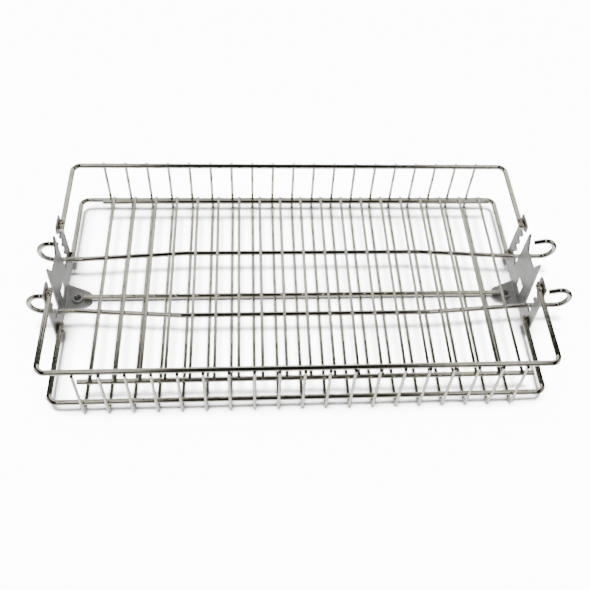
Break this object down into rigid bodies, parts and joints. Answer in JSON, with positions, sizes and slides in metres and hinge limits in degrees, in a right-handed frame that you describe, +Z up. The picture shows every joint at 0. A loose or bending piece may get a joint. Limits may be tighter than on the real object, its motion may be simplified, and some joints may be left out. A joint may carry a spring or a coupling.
{
  "type": "rotisserie grill basket",
  "caption": "Flat wire rotisserie basket with notched end plates for a square spit rod and a mesh lid that clamps the food and locks into the notches with finger-loop wires.",
  "frame": {"origin": "on the spit rod's axis, midway between the two end plates; the table is 16 mm below it", "axes": "+X along the spit rod to the right, +Y to the back, +Z up"},
  "size_m": [0.4806, 0.2346, 0.069],
  "materials": {
    "basket_mesh_wire": "bright nickel plate",
    "lid_mesh_wire": "bright nickel plate",
    "rim_wire": "bright nickel plate",
    "basket_frame_wire": "bright nickel plate",
    "lid_edge_wire": "bright nickel plate",
    "hook_wire": "bright nickel plate",
    "end_plate": "satin nickel plate on sheet steel"
  },
  "bodies": {
    "basket": {"basket_rib_01": "basket_mesh_wire", "basket_rib_02": "basket_mesh_wire", "basket_rib_03": "basket_mesh_wire", "basket_rib_04": "basket_mesh_wire", "basket_rib_05": "basket_mesh_wire", "basket_rib_06": "basket_mesh_wire", "basket_rib_07": "basket_mesh_wire", "basket_rib_08": "basket_mesh_wire", "basket_rib_09": "basket_mesh_wire", "basket_rib_10": "basket_mesh_wire", "basket_rib_11": "basket_mesh_wire", "basket_rib_12": "basket_mesh_wire", "basket_rib_13": "basket_mesh_wire", "basket_rib_14": "basket_mesh_wire", "basket_rib_15": "basket_mesh_wire", "basket_rib_16": "basket_mesh_wire", "basket_rib_17": "basket_mesh_wire", "basket_rib_18": "basket_mesh_wire", "basket_rib_19": "basket_mesh_wire", "rim_wire_front": "rim_wire", "rim_wire_back": "rim_wire", "frame_wire_front": "basket_frame_wire", "frame_wire_back": "basket_frame_wire", "centre_wire": "basket_frame_wire", "end_plate_left": "end_plate", "end_plate_right": "end_plate"},
    "lid": {"lid_wire_01": "lid_mesh_wire", "lid_wire_02": "lid_mesh_wire", "lid_wire_03": "lid_mesh_wire", "lid_wire_04": "lid_mesh_wire", "lid_wire_05": "lid_mesh_wire", "lid_wire_06": "lid_mesh_wire", "lid_wire_07": "lid_mesh_wire", "lid_wire_08": "lid_mesh_wire", "lid_wire_09": "lid_mesh_wire", "lid_wire_10": "lid_mesh_wire", "lid_wire_11": "lid_mesh_wire", "lid_wire_12": "lid_mesh_wire", "lid_wire_13": "lid_mesh_wire", "lid_wire_14": "lid_mesh_wire", "lid_wire_15": "lid_mesh_wire", "lid_wire_16": "lid_mesh_wire", "lid_wire_17": "lid_mesh_wire", "lid_wire_18": "lid_mesh_wire", "lid_wire_19": "lid_mesh_wire", "lid_edge_wire_front": "lid_edge_wire", "lid_edge_wire_back": "lid_edge_wire"},
    "hook_back": {"hook_wire_back": "hook_wire"},
    "hook_front": {"hook_wire_front": "hook_wire"}
  },
  "joints": [
    {"name": "lid_lift", "type": "slide", "parent": "basket", "child": "lid", "axis": [0, 0, 1], "range_m": [0, 0.0315]},
    {"name": "hook_back_release", "type": "slide", "parent": "lid", "child": "hook_back", "axis": [0, 1, 0], "range_m": [0, 0.0046]},
    {"name": "hook_front_release", "type": "slide", "parent": "lid", "child": "hook_front", "axis": [0, -1, 0], "range_m": [0, 0.0046]}
  ]
}
